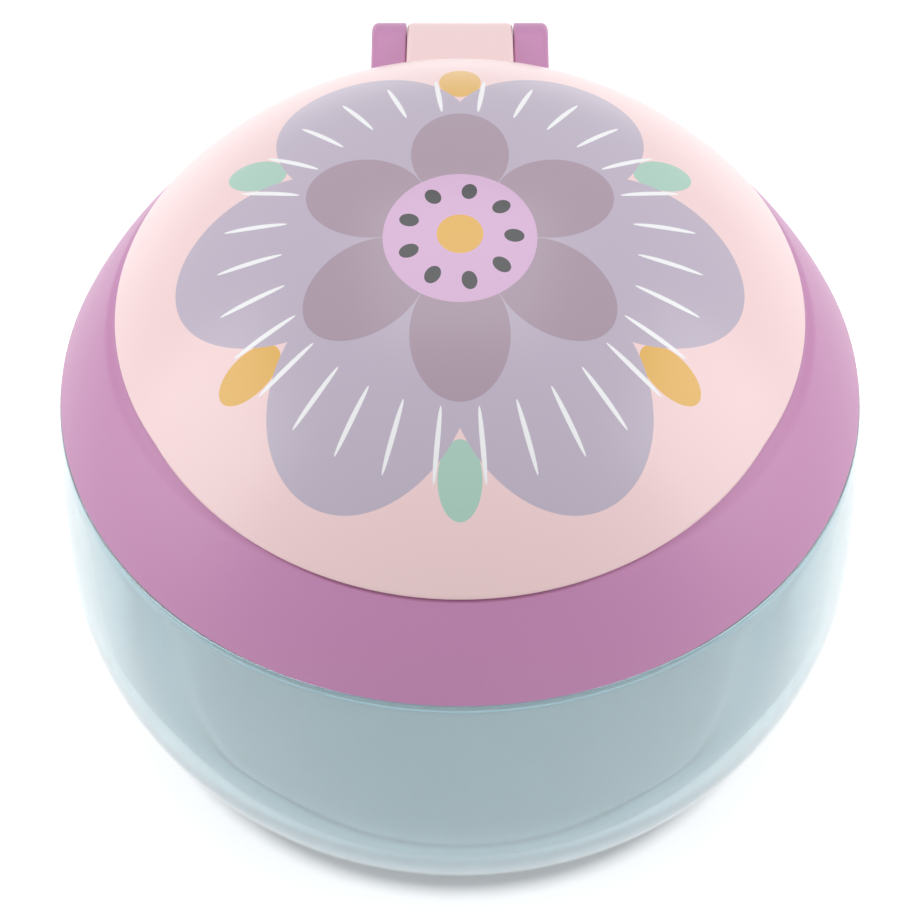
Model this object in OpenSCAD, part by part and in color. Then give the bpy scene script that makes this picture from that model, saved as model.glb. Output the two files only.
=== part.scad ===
// Toddler snack container: a squat round cup, a domed screw-on collar with a soft
// flap insert in its opening, and a hinged dome lid with an in-mould label.
// Millimetres, +Z up. The origin is the middle of the flat base, the hinge is at +Y
// and the lid's thumb lip at -Y.

/* [Cup] */
// Height of the seam between the cup and the collar
seam_z = 46.4; // [42:0.1:52]
// Outer radius of cup and collar at the seam
seam_r = 44.6; // [42:0.1:50]
// How far the cup's widest ring stands out past the seam
belly_bulge = 1.3; // [0.8:0.1:3]
// Height of the cup's widest ring above the base
belly_z = 25.5; // [20:0.5:30]
// How far the side wall draws in from its widest ring to the base
base_draw = 11.4; // [8:0.1:14]
// Rounding where the side wall meets the base
base_round = 2.5; // [1:0.1:4]
// Thickness of the cup's side wall
cup_wall = 2; // [1.4:0.1:2.6]
// Thickness of the cup's floor
floor_t = 3; // [2:0.1:5]
// Rounding between the floor and the side wall inside
cavity_round = 6; // [3:0.5:10]
// Thickness of the shoulder under the neck
shoulder_t = 2.2; // [1.6:0.1:3]

/* [Neck and thread] */
// Width of the shoulder from the neck out to the seam
shoulder_w = 7.6; // [7.3:0.1:9]
// Height of the neck above the shoulder
neck_h = 6.4; // [6:0.1:7]
// Wall of the neck
neck_wall = 1.8; // [1.4:0.1:2.4]
// Number of thread starts
thread_starts = 3; // [2:1:4]
// Distance between neighbouring threads
thread_pitch = 4; // [3.6:0.1:4.4]
// Height of the thread ribs
thread_depth = 0.9; // [0.6:0.05:1]
// Width of a cup rib at its foot
cup_rib_w = 1.7; // [1.4:0.1:2]
// Width of a collar rib at its foot
collar_rib_w = 1.3; // [1:0.1:1.6]
// Turn that one cup rib covers, in degrees
cup_rib_arc = 72; // [50:1:80]
// Turn that one collar rib covers, in degrees
collar_rib_arc = 48; // [30:1:60]
// Height of a cup rib's lower end above the shoulder
rib_start = 2.4; // [2.2:0.1:2.8]

/* [Collar] */
// Height of the collar from the seam to the land under the lid
collar_h = 11.8; // [11:0.1:14]
// How far below the seam the centre of the collar's spherical crown lies
crown_drop = 19.1; // [15:0.1:24]
// Thickness of the collar's shell
collar_wall = 2; // [1.6:0.1:2.4]
// Depth of the sunk band round the lid's edge
band_step = 0.3; // [0.2:0.05:0.6]
// How far the sunk band reaches out past the lid's edge
band_w = 1.2; // [0.8:0.1:2]
// Wall of the threaded skirt
skirt_wall = 1.6; // [1.2:0.1:2]
// Thickness of the flange round the opening
flange_t = 1.8; // [1.4:0.1:2.4]
// Width of the step that holds the insert down
hold_w = 2; // [1.5:0.1:3]
// Height of the coaming round the opening above the land
coaming_h = 2.2; // [1.6:0.1:2.8]
// Wall of the coaming
coaming_wall = 1.6; // [1.2:0.1:2]
// Wall of the spigot that carries the insert
spigot_wall = 1.6; // [1.2:0.1:2]
// Length of the spigot below the flange
spigot_l = 5; // [4:0.1:5.4]
// Height of the catch bead on the coaming
catch_h = 0.15; // [0.1:0.05:0.2]
// Turn that the catch bead covers at the front, in degrees
catch_arc = 40; // [20:5:60]
// Height of the catch bead's middle below the coaming's top
catch_drop = 0.9; // [0.7:0.1:1.1]
// Width of the coaming's foot that the thumb lip's seat leaves standing
seat_margin = 2.3; // [1.8:0.1:2.8]

/* [Seal] */
// Thickness of the seal ring on the neck's lip
seal_t = 1.4; // [1:0.1:2]

/* [Flap insert] */
// Number of flaps
flap_count = 8; // [6:1:10]
// Thickness of a flap
flap_t = 1.2; // [0.8:0.1:1.6]
// Thickness of the living hinge at a flap's root
web_t = 0.4; // [0.3:0.05:0.6]
// Length of the taper from the living hinge to the full thickness
web_l = 1.4; // [1:0.1:2]
// Width of the slits between the flaps
slit_w = 0.7; // [0.5:0.05:1]
// How far the flaps rise towards the middle
flap_crown = 2; // [0:0.1:3]
// Distance from the middle to the tip of a flap
tip_r = 2; // [1.5:0.1:4]
// Thickness of the insert's flat ring
ring_t = 1.6; // [1.2:0.1:2]
// Height of the insert's soft rim above its flat ring
rim_h = 1.9; // [1:0.1:2.4]
// Wall of the insert's soft rim
rim_wall = 2; // [1.4:0.1:3]
// Least flat width between the soft rim and the opening
flap_margin = 2.8; // [2:0.1:5]
// Radius of the round root that a flap bends on
root_r = 0.25; // [0.22:0.01:0.3]
// Radius of the round end of each slit
slit_end_r = 0.7; // [0.5:0.05:1]

/* [Lid] */
// Height of the dome above its rim
dome_h = 19.6; // [17:0.1:24]
// Thickness of the dome
lid_wall = 2; // [1.6:0.1:2.4]
// How far the dome's edge stands out past the collar's land
lid_overhang = 0.25; // [0:0.05:0.5]
// Distance from the middle to where the rim starts to dip towards the lip
lip_start = 19.5; // [10:0.5:25]
// Slope of the thumb lip, in degrees
lip_slope = 5.3; // [3:0.1:6]
// Thickness of the snap skirt inside the lid
snap_wall = 1.2; // [0.8:0.1:1.6]
// Distance from the label's edge out to the dome's edge, seen from above
label_margin = 2.6; // [2.4:0.1:12]
// Thickness of the in-mould label
label_t = 0.3; // [0.2:0.05:0.5]

/* [Hinge] */
// Height of the hinge axis below the lid's rim
hinge_drop = 4.5; // [4:0.1:5.2]
// Distance from the collar's crown out to the hinge axis
hinge_out = 3.2; // [3:0.1:4]
// Radius of the hinge barrel and the lugs
knuckle_r = 3.9; // [3.5:0.1:4]
// Width of the lid's barrel
barrel_w = 12.2; // [9:0.1:16]
// Thickness of each lug
lug_t = 4.1; // [3:0.1:5]
// Rounding of the barrel's and the lugs' ends
knuckle_round = 0.8; // [0.4:0.1:1.2]
// Radius of the hinge pin
pin_r = 1.25; // [0.9:0.05:1.6]
// Depth of the pin's ends inside the lugs
pin_inset = 0.3; // [0.1:0.1:0.8]
// Thickness of the lid's arm where it meets the dome
arm_t = 1.9; // [1.6:0.1:2.4]

/* [Fits] */
// Gap between the collar's foot and the cup's shoulder
seam_gap = 0.2; // [0.1:0.05:0.4]
// Gap between thread ribs and the wall that they face
thread_gap = 0.35; // [0.3:0.05:0.5]
// Gap beside the soft pieces and the sliding faces
fit_gap = 0.3; // [0.25:0.05:0.5]
// Gap between the cup's neck and the spigot inside it
spigot_gap = 0.6; // [0.4:0.1:0.8]
// Gap above and below the seal
seal_gap = 0.1; // [0.05:0.05:0.3]
// Gap between the lid's rim and the collar's land
lid_gap = 0.3; // [0.25:0.05:0.5]
// Gap between the snap skirt and the coaming
snap_gap = 0.45; // [0.4:0.05:0.6]
// Gap between the barrel and each lug
lug_gap = 0.25; // [0.2:0.05:0.4]
// Gap round the barrel in the collar's pocket
pocket_gap = 0.4; // [0.3:0.05:0.5]
// Running clearance between the pin and the barrel's bore
pin_gap = 0.05; // [0.02:0.01:0.1]

/* [Hidden] */
$fn = 96;
fine_fn = 24;
// Cup
shoulder_z = seam_z - seam_gap;
belly_r = seam_r + belly_bulge;
low_arc_r = (base_draw * base_draw + belly_z * belly_z) / (2 * base_draw);
low_arc_x = belly_r - low_arc_r;
belly_to_seam = seam_z - belly_z;
high_arc_r = (belly_bulge * belly_bulge + belly_to_seam * belly_to_seam) / (2 * belly_bulge);
high_arc_x = belly_r - high_arc_r;
edge_round = 0.5;
root_round = 0.8;
ceiling_round = 2;
neck_r = seam_r - shoulder_w;
neck_in = neck_r - neck_wall;
lip_z = shoulder_z + neck_h;
// Thread
thread_lead = thread_starts * thread_pitch;
rib_tip_share = 0.54;
rib_run_in = 10;
rib_sink = 0.3;
rib_end_sink = rib_sink / 4;
rib_step = 4;
rib_flank_gap = 1.35;
collar_rib_turn = 12;
// Collar
crown_z = seam_z - crown_drop;
crown_r = sqrt(seam_r * seam_r + crown_drop * crown_drop);
land_z = seam_z + collar_h;
bore_r = neck_r + thread_depth + thread_gap;
skirt_rise = 0.4;
skirt_z = seam_z + skirt_rise;
ledge_z = lip_z + seal_t + 2 * seal_gap;
seal_round = seal_t / 3;
spigot_r = neck_in - spigot_gap;
spigot_in = spigot_r - spigot_wall;
flange_z = land_z - flange_t;
spigot_z = flange_z - spigot_l;
coaming_in = spigot_in - hold_w;
coaming_r = coaming_in + coaming_wall;
coaming_z = land_z + coaming_h;
core_w = 0.8;
core_r = bore_r + skirt_wall + core_w;
core_z = crown_z + sqrt(pow(crown_r - collar_wall, 2) - core_r * core_r);
// Insert
ring_z = flange_z - seal_gap - ring_t;
insert_r = spigot_in - fit_gap;
soft_rim_r = coaming_in - fit_gap;
soft_rim_in = soft_rim_r - rim_wall;
flap_angle = 360 / flap_count;
ring_round = 0.4;
opening_a = soft_rim_in * cos(flap_angle / 2) - flap_margin;
root_a = opening_a - fit_gap - root_r;
root_z = ring_z + ring_t / 2;
flap_steps = 4;
// Lid
rim_z = land_z + lid_gap;
lid_edge_r = sqrt(crown_r * crown_r - pow(land_z - crown_z, 2)) + lid_overhang;
dome_r = (lid_edge_r * lid_edge_r + dome_h * dome_h) / (2 * dome_h);
dome_z = rim_z + dome_h - dome_r;
label_r = lid_edge_r - label_margin;
band_r = lid_edge_r + band_w;
snap_in = coaming_r + snap_gap;
seat_in = coaming_r + seat_margin;
lip_reach = 1.25 * seam_r;
catch_z = coaming_z - catch_drop;
groove_r = 2 * catch_h;
arm_root = 1;
arm_edge = 0.7;
// Hinge
hinge_z = rim_z - hinge_drop;
hinge_y = sqrt(pow(crown_r + hinge_out, 2) - pow(hinge_z - crown_z, 2));
lug_x = barrel_w / 2 + lug_gap;
pin_l = 2 * (lug_x + lug_t - pin_inset);
root_depth = 0.9;
root_edge = 0.5;
lug_top_angle = 112;
lug_foot_angle = -100;
arm_top_angle = 73;
arm_foot_angle = 160;
cut_over = 1;

CUP_COLOUR = "#B4D0D8";
COLLAR_COLOUR = "#C08AB6";
LID_COLOUR = "#F3D6D9";
LABEL_COLOUR = "#C2B7C8";
SOFT_COLOUR = "#E9C3D6";
SEAL_COLOUR = "#E8E9EA";
STEEL_COLOUR = "#C9CBCC";

// Points of an arc about (x, z), from one angle to another
function arc(x, z, r, from, to, steps) =
    [for (i = [0:steps])
        let (a = from + (to - from) * i / steps)
        [x + r * cos(a), z + r * sin(a)]];

// Points of a ring's section: a rectangle with rounded corners
function rounded_box(x0, z0, x1, z1, r) = concat(
    arc(x1 - r, z0 + r, r, -90, 0, 4),
    arc(x1 - r, z1 - r, r, 0, 90, 4),
    arc(x0 + r, z1 - r, r, 90, 180, 4),
    arc(x0 + r, z0 + r, r, 180, 270, 4)
);

// A profile drawn in (y, z), extruded to a width along X about the middle
module along_x(width) {
    rotate([90, 0, 90])
        linear_extrude(height = width, center = true)
            children();
}

// One thread rib: a trapezium swept up the helix, fading out at both ends
module thread_rib(wall_r, side, foot_w, arc_deg) {
    steps = ceil(arc_deg / rib_step);
    tip_w = foot_w * rib_tip_share;
    rings = [for (i = [0:steps])
        let (
            a = arc_deg * i / steps,
            fade = min(1, a / rib_run_in, (arc_deg - a) / rib_run_in),
            foot_r = wall_r - side * rib_sink,
            tip = wall_r + side * (thread_depth * fade - rib_end_sink * (1 - fade)),
            z = thread_lead * a / 360
        )
        [for (p = [[foot_r, -foot_w], [tip, -tip_w], [tip, tip_w], [foot_r, foot_w]])
            [p[0] * cos(a), p[0] * sin(a), z + p[1] / 2]]];
    sides = [for (i = [0:steps - 1], k = [0:3])
        let (a = 4 * i + k, b = 4 * i + (k + 1) % 4)
        side > 0 ? [a, a + 4, b + 4, b] : [b, b + 4, a + 4, a]];
    last = 4 * steps;
    ends = side > 0
        ? [[0, 1, 2, 3], [last + 3, last + 2, last + 1, last]]
        : [[3, 2, 1, 0], [last, last + 1, last + 2, last + 3]];
    polyhedron(points = [for (ring = rings) each ring], faces = concat(sides, ends), convexity = 4);
}

// All ribs of one thread
module thread(wall_r, side, foot_w, arc_deg, start_deg, start_z) {
    for (i = [0:thread_starts - 1])
        rotate([0, 0, i * 360 / thread_starts + start_deg])
            translate([0, 0, start_z])
                thread_rib(wall_r, side, foot_w, arc_deg);
}

// Outer line of the cup, from the middle of the base up to the lip
function cup_outside() =
    let (
        corner_x = low_arc_x + sqrt(pow(low_arc_r - base_round, 2) - pow(belly_z - base_round, 2)),
        corner_a = atan2(base_round - belly_z, corner_x - low_arc_x),
        edge_z = shoulder_z - edge_round,
        edge_a = asin((edge_z - belly_z) / high_arc_r),
        edge_x = high_arc_x + high_arc_r * cos(edge_a) - edge_round
    )
    concat(
        [[0, 0]],
        arc(corner_x, base_round, base_round, -90, corner_a, 5),
        arc(low_arc_x, belly_z, low_arc_r, corner_a, 0, 16),
        arc(high_arc_x, belly_z, high_arc_r, 0, edge_a, 6),
        arc(edge_x, edge_z, edge_round, 0, 90, 4),
        arc(neck_r + root_round, shoulder_z + root_round, root_round, 270, 180, 4),
        arc(neck_r - edge_round, lip_z - edge_round, edge_round, 0, 90, 4)
    );

// Inner line of the cup, from the lip down to the middle of the floor
function cup_inside() =
    let (
        ceiling_z = shoulder_z - shoulder_t,
        top_z = ceiling_z - ceiling_round,
        top_x = high_arc_x + sqrt(pow(high_arc_r - cup_wall - ceiling_round, 2) - pow(top_z - belly_z, 2)),
        top_a = atan2(top_z - belly_z, top_x - high_arc_x),
        low_z = floor_t + cavity_round,
        low_x = low_arc_x + sqrt(pow(low_arc_r - cup_wall - cavity_round, 2) - pow(belly_z - low_z, 2)),
        low_a = atan2(low_z - belly_z, low_x - low_arc_x)
    )
    concat(
        arc(neck_in + edge_round, lip_z - edge_round, edge_round, 90, 180, 4),
        arc(neck_in + root_round, ceiling_z + root_round, root_round, 180, 270, 4),
        arc(top_x, top_z, ceiling_round, 90, top_a, 5),
        arc(high_arc_x, belly_z, high_arc_r - cup_wall, top_a, 0, 6),
        arc(low_arc_x, belly_z, low_arc_r - cup_wall, 0, low_a, 12),
        arc(low_x, low_z, cavity_round, low_a, -90, 6),
        [[0, floor_t]]
    );

// Translucent cup: blown body, drawn-in shoulder and threaded neck
module cup() {
    color(CUP_COLOUR, 0.6)
        union() {
            rotate_extrude()
                polygon(concat(cup_outside(), cup_inside()));
            thread(neck_r, 1, cup_rib_w, cup_rib_arc, 0, shoulder_z + rib_start);
        }
}

// Silicone ring between the neck's lip and the collar
module cup_seal() {
    color(SEAL_COLOUR)
        rotate_extrude()
            polygon(rounded_box(
                spigot_r + fit_gap, lip_z + seal_gap,
                bore_r - fit_gap, ledge_z - seal_gap, seal_round));
}

// Section of the collar: crown, coaming, spigot, seal groove, threaded skirt and cored foot
function collar_section() =
    let (
        inner_r = crown_r - collar_wall,
        band_in = crown_r - band_step
    )
    concat(
        arc(0, crown_z, crown_r, asin(crown_drop / crown_r), acos(band_r / crown_r), 12),
        arc(0, crown_z, band_in, acos((band_r - band_step / 2) / band_in), asin((land_z - crown_z) / band_in), 3),
        [[coaming_r, land_z]],
        arc(coaming_r - edge_round, coaming_z - edge_round, edge_round, 0, 90, 4),
        arc(coaming_in + edge_round, coaming_z - edge_round, edge_round, 90, 180, 4),
        [[coaming_in, flange_z], [spigot_in, flange_z], [spigot_in, spigot_z]],
        [[spigot_r, spigot_z], [spigot_r, ledge_z], [bore_r, ledge_z], [bore_r, skirt_z]],
        [[bore_r + skirt_wall, skirt_z], [bore_r + skirt_wall, core_z]],
        arc(0, crown_z, inner_r, acos(core_r / inner_r), asin(crown_drop / inner_r), 6)
    );

// Half plane above the tilted seat of the thumb lip, outside the coaming's foot
module lip_seat() {
    difference() {
        along_x(2 * lip_reach)
            polygon([
                [-lip_start, land_z],
                [-lip_reach, land_z - (lip_reach - lip_start) * tan(lip_slope)],
                [-lip_reach, land_z + dome_h],
                [-lip_start, land_z + dome_h]]);
        cylinder(r = seat_in, h = land_z + 2 * dome_h);
    }
}

// Barrel or lug of the hinge: a short cylinder along X with rounded ends
module knuckle(width) {
    translate([0, hinge_y, hinge_z])
        rotate([0, 90, 0])
            rotate_extrude()
                polygon(concat(
                    [[0, -width / 2]],
                    arc(knuckle_r - knuckle_round, knuckle_round - width / 2, knuckle_round, -90, 0, 4),
                    arc(knuckle_r - knuckle_round, width / 2 - knuckle_round, knuckle_round, 0, 90, 4),
                    [[0, width / 2]]));
}

// Point on the knuckle's rim, at an angle from +Y towards +Z
function on_knuckle(angle) =
    [hinge_y + knuckle_r * cos(angle), hinge_z + knuckle_r * sin(angle)];

// One hinge lug with its root in the collar
module lug() {
    root_w = lug_t - knuckle_round;
    knuckle(lug_t);
    along_x(root_w)
        polygon([
            on_knuckle(lug_top_angle),
            [lid_edge_r - root_edge, land_z - root_depth],
            [bore_r + skirt_wall / 2, spigot_z - root_depth],
            on_knuckle(lug_foot_angle)]);
}

// Cylinder along the hinge axis
module hinge_bar(r, length) {
    translate([0, hinge_y, hinge_z])
        rotate([0, 90, 0])
            cylinder(r = r, h = length, center = true);
}

// Screw-on collar with the hinge lugs
module collar() {
    color(COLLAR_COLOUR)
        difference() {
            union() {
                difference() {
                    rotate_extrude()
                        polygon(collar_section());
                    lip_seat();
                    hinge_bar(knuckle_r + pocket_gap, barrel_w + 2 * lug_gap);
                }
                for (side = [-1, 1])
                    translate([side * (lug_x + lug_t / 2), 0, 0])
                        lug();
                thread(bore_r, -1, collar_rib_w, collar_rib_arc, collar_rib_turn,
                    shoulder_z + rib_start - rib_flank_gap + thread_lead * collar_rib_turn / 360);
                rotate([0, 0, -90 - catch_arc / 2])
                    rotate_extrude(angle = catch_arc)
                        translate([coaming_r, catch_z])
                            circle(r = catch_h, $fn = fine_fn);
            }
            hinge_bar(pin_r, 2 * (lug_x + lug_t + cut_over));
        }
}

// Steel pin pressed into the lugs
module hinge_pin() {
    color(STEEL_COLOUR)
        hinge_bar(pin_r, pin_l);
}

// Plan of one flap, pointing along +X, between two slits
function flap_plan() =
    let (
        half = flap_angle / 2,
        slit = slit_w / 2 / cos(half),
        root = root_a + 2 * root_r
    )
    [[tip_r, slit - tip_r * tan(half)], [root, slit - root * tan(half)],
        [root, root * tan(half) - slit], [tip_r, tip_r * tan(half) - slit]];

// Height of a flap's middle surface at a distance from the middle of the insert
function flap_height(x) = root_z + flap_crown * (1 - pow(x / root_a, 2));

// Half thickness of a flap at a distance from the middle of the insert
function flap_half(x) =
    (web_t + (flap_t - web_t) * min(1, (root_a - x) / web_l)) / 2;

// One soft flap: a crowned leaf that thins to a web and bends on its round root
module flap(number) {
    thick_x = root_a - web_l;
    stations = concat(
        [root_a],
        [for (i = [0:flap_steps]) thick_x - (thick_x - tip_r) * i / flap_steps]);
    color(SOFT_COLOUR)
        rotate([0, 0, -90 + (number - 1) * flap_angle])
            intersection() {
                linear_extrude(height = land_z + dome_h)
                    polygon(flap_plan());
                union() {
                    rotate([90, 0, 0])
                        linear_extrude(height = 2 * root_a, center = true)
                            polygon(concat(
                                [for (x = stations) [x, flap_height(x) + flap_half(x)]],
                                [for (i = [len(stations) - 1:-1:0])
                                    let (x = stations[i])
                                    [x, flap_height(x) - flap_half(x)]]));
                    translate([root_a, 0, root_z])
                        rotate([90, 0, 0])
                            cylinder(r = root_r, h = 2 * root_a, center = true);
                }
            }
}

// Soft ring that carries the flaps and stands up inside the coaming
module flap_ring() {
    corner_r = opening_a / cos(flap_angle / 2);
    ring_top = ring_z + ring_t;
    color(SOFT_COLOUR)
        difference() {
            rotate_extrude()
                polygon(concat(
                    [[tip_r, ring_z]],
                    arc(insert_r - ring_round, ring_z + ring_round, ring_round, -90, 0, 3),
                    [[insert_r, ring_top], [soft_rim_r, ring_top]],
                    arc(soft_rim_r - rim_wall / 2, ring_top + rim_h - rim_wall / 2, rim_wall / 2, 0, 180, 8),
                    [[soft_rim_in, ring_top], [tip_r, ring_top]]));
            rotate([0, 0, -90 + flap_angle / 2])
                translate([0, 0, ring_z - cut_over])
                    cylinder(r = corner_r, h = ring_t + 2 * cut_over, $fn = flap_count);
            for (i = [0:flap_count - 1])
                rotate([0, 0, -90 + flap_angle * (i + 0.5)])
                    translate([corner_r, 0, ring_z - cut_over])
                        cylinder(r = slit_end_r, h = ring_t + 2 * cut_over, $fn = fine_fn);
        }
}

// Everything below the lid's rim, with the dip at the thumb lip
module below_rim() {
    along_x(2 * lip_reach)
        polygon([
            [lip_reach, -lip_reach],
            [lip_reach, rim_z],
            [-lip_start, rim_z],
            [-lip_reach, rim_z - (lip_reach - lip_start) * tan(lip_slope)],
            [-lip_reach, -lip_reach]]);
}

module dome(r) {
    translate([0, 0, dome_z])
        sphere(r = r);
}

// Snap skirt inside the lid, with the groove for the catch bead
module snap_skirt() {
    difference() {
        intersection() {
            dome(dome_r - lid_wall / 2);
            translate([0, 0, rim_z])
                cylinder(r = snap_in + snap_wall, h = dome_h);
        }
        cylinder(r = snap_in, h = rim_z + dome_h);
        rotate([0, 0, -90 - catch_arc / 2])
            rotate_extrude(angle = catch_arc)
                translate([snap_in, catch_z])
                    circle(r = groove_r, $fn = fine_fn);
    }
}

// Disc-shaped region of the dome's skin that the label fills
module label_zone(outer_r) {
    intersection() {
        difference() {
            dome(outer_r);
            dome(dome_r - label_t);
        }
        translate([0, 0, dome_z])
            cylinder(r = label_r, h = 2 * dome_r);
    }
}

// Hinged dome lid with its barrel and snap skirt
module lid_shell() {
    color(LID_COLOUR)
        difference() {
            union() {
                difference() {
                    dome(dome_r);
                    dome(dome_r - lid_wall);
                    below_rim();
                }
                snap_skirt();
                knuckle(barrel_w);
                difference() {
                    along_x(barrel_w - knuckle_round)
                        polygon([
                            on_knuckle(arm_top_angle),
                            [lid_edge_r - arm_edge - arm_root, rim_z + arm_t],
                            [lid_edge_r - arm_edge - arm_root, rim_z],
                            [lid_edge_r - arm_edge, rim_z],
                            on_knuckle(arm_foot_angle)]);
                    dome(dome_r - lid_wall / 2);
                }
            }
            hinge_bar(pin_r + pin_gap, barrel_w + 2 * cut_over);
            label_zone(dome_r + cut_over);
        }
}

// Printed film moulded flush into the top of the dome
module lid_label() {
    color(LABEL_COLOUR)
        label_zone(dome_r);
}

cup();
cup_seal();
collar();
hinge_pin();
flap_ring();
for (i = [1:flap_count])
    flap(i);
lid_shell();
lid_label();
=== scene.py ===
import math

import bpy
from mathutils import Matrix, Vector


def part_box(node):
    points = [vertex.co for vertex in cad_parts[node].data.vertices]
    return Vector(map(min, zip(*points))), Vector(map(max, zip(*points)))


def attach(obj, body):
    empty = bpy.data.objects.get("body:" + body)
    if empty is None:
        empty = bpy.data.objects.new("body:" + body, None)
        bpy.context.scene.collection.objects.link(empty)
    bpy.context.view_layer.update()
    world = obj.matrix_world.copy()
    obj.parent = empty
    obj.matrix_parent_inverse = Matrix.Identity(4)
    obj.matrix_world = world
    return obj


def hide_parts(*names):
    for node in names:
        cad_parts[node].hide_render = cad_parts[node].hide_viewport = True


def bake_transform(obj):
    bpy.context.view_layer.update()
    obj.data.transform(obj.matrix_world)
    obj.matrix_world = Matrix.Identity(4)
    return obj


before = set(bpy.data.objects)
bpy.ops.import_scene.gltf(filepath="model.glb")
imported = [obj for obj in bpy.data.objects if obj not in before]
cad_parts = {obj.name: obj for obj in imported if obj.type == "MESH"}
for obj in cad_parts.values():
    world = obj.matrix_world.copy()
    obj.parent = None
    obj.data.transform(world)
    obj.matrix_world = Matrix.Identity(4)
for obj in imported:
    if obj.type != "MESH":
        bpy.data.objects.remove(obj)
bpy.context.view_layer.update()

# Cup: the squat round body that holds the snacks, clear polypropylene tinted aqua.
# Its wall and thick floor are one closed line spun round the axis, and three short
# thread ribs are joined to the neck. Everything is modelled in millimetres and shrunk.
MM = 0.001
WELD = 0.001
SPIN_STEPS = 160

cup_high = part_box("cup")[1]
lip_z = cup_high.z / MM
neck_h = 6.4
shoulder_z = lip_z - neck_h
seam_z = shoulder_z + 0.2
belly_r = cup_high.x / MM
belly_z = 25.5
belly_bulge = 1.3
seam_r = belly_r - belly_bulge
base_draw = 11.4
base_round = 2.5
cup_wall = 2.0
floor_t = 3.0
shoulder_t = 2.2
neck_r = 37.0
neck_in = 35.2
thread_lead = 12.0
thread_depth = 0.9
thread_starts = 3
thread_z = shoulder_z + 2.4
cup_rib_w = 1.7
cup_rib_arc = 72
# Where the cup's base colour is painted a deeper aqua, as painted shade low in the wall.
deep_top_z = 20
deep_low_z = 9
deep_in_r = 35
deep_out_r = 37


def arc(x, z, radius, start, end, steps):
    """Points of an arc in a profile, from one angle to another in degrees."""
    angles = [math.radians(start + (end - start) * i / steps) for i in range(steps + 1)]
    return [(x + radius * math.cos(a), z + radius * math.sin(a)) for a in angles]


def trace(name, points):
    """Starts a piece in edit mode: a plane merged to one vertex, extruded along the points."""
    bpy.ops.object.select_all(action="DESELECT")
    bpy.ops.mesh.primitive_plane_add(size=1, location=(0, 0, 0))
    piece = bpy.context.object
    piece.name = name
    bpy.ops.object.mode_set(mode="EDIT")
    bpy.ops.mesh.select_all(action="SELECT")
    bpy.ops.mesh.merge(type="CENTER")
    bpy.ops.transform.translate(value=points[0])
    for here, there in zip(points, points[1:]):
        step = Vector(there) - Vector(here)
        bpy.ops.mesh.extrude_region_move(TRANSFORM_OT_translate={"value": step})
    bpy.ops.mesh.select_all(action="SELECT")
    return piece


def close_shell():
    """Welds the seams of the shape in edit mode and turns its faces outwards."""
    bpy.ops.mesh.select_all(action="SELECT")
    bpy.ops.mesh.remove_doubles(threshold=WELD)
    bpy.ops.mesh.normals_make_consistent(inside=False)
    bpy.ops.object.mode_set(mode="OBJECT")


def turned(name, profile, steps=SPIN_STEPS):
    """A body of revolution: the profile's points, radius and height, spun round the axis."""
    piece = trace(name, [(r, 0, z) for r, z in profile])
    bpy.ops.mesh.spin(steps=steps, angle=math.tau, center=(0, 0, 0), axis=(0, 0, 1))
    close_shell()
    return piece


def modify(piece, kind, **settings):
    """Adds a modifier with its settings and applies it."""
    modifier = piece.modifiers.new(kind.title(), kind)
    for name, value in settings.items():
        setattr(modifier, name, value)
    bpy.context.view_layer.objects.active = piece
    bpy.ops.object.modifier_apply(modifier=modifier.name)


def break_edges(piece, width, segments=2, sharp=60):
    """Rounds the edges where a piece turns by more than that many degrees."""
    modify(piece, "BEVEL", width=width, segments=segments, limit_method="ANGLE",
           angle_limit=math.radians(sharp))


def combine(piece, tool, operation="UNION"):
    """Joins, cuts or intersects a piece with a closed shape, which is then gone."""
    modify(piece, "BOOLEAN", object=tool, operation=operation, solver="MANIFOLD")
    bpy.data.objects.remove(tool)


def thread_ribs(name, wall_r, side, foot_w, arc_deg, start_deg, start_z):
    """The ribs of a thread: a trapezium screwed up a helix that fades out at both ends."""
    run_in = 10.0
    step_deg = 2
    sink = 0.3
    tip_share = 0.54
    tip_w = foot_w * tip_share
    foot_r = wall_r - side * sink
    tip_r = wall_r + side * thread_depth
    section = [
        (foot_r, -foot_w), (tip_r, -tip_w), (tip_r, tip_w), (foot_r, foot_w), (foot_r, -foot_w)]
    rib = trace(name, [(r, 0, w / 2) for r, w in section])
    bpy.ops.mesh.remove_doubles(threshold=WELD)
    bpy.ops.object.mode_set(mode="OBJECT")
    steps = int(arc_deg / step_deg)
    modify(rib, "SCREW", angle=math.radians(arc_deg), screw_offset=thread_lead * arc_deg / 360,
           steps=steps, render_steps=steps, use_merge_vertices=False, use_smooth_shade=False)
    for vertex in rib.data.vertices:
        spot = vertex.co
        turn = abs(math.degrees(math.atan2(spot.y, spot.x)))
        fade = max(0.0, min(1.0, turn / run_in, (arc_deg - turn) / run_in))
        radius = math.hypot(spot.x, spot.y)
        if abs(radius - foot_r) > sink / 2:
            wanted = wall_r + side * (thread_depth * fade - sink / 4 * (1 - fade))
            spot.x *= wanted / radius
            spot.y *= wanted / radius
    bpy.ops.object.mode_set(mode="EDIT")
    bpy.ops.mesh.select_all(action="SELECT")
    bpy.ops.mesh.fill_holes(sides=0)
    close_shell()
    rib.location.z = start_z
    rib.rotation_euler.z = math.radians(start_deg)
    for i in range(1, thread_starts):
        other = rib.copy()
        other.data = rib.data.copy()
        other.rotation_euler.z += math.tau * i / thread_starts
        bpy.context.scene.collection.objects.link(other)
        other.select_set(True)
    rib.select_set(True)
    bpy.context.view_layer.objects.active = rib
    bpy.ops.object.join()
    bpy.ops.object.transform_apply()
    return rib


def linear(hex_code):
    """A colour written as sRGB hex, as the linear colour that a shader takes."""
    parts = [int(hex_code[i:i + 2], 16) / 255 for i in (1, 3, 5)]
    flat = [c / 12.92 if c <= 0.04045 else ((c + 0.055) / 1.055) ** 2.4 for c in parts]
    return (*flat, 1.0)


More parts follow.
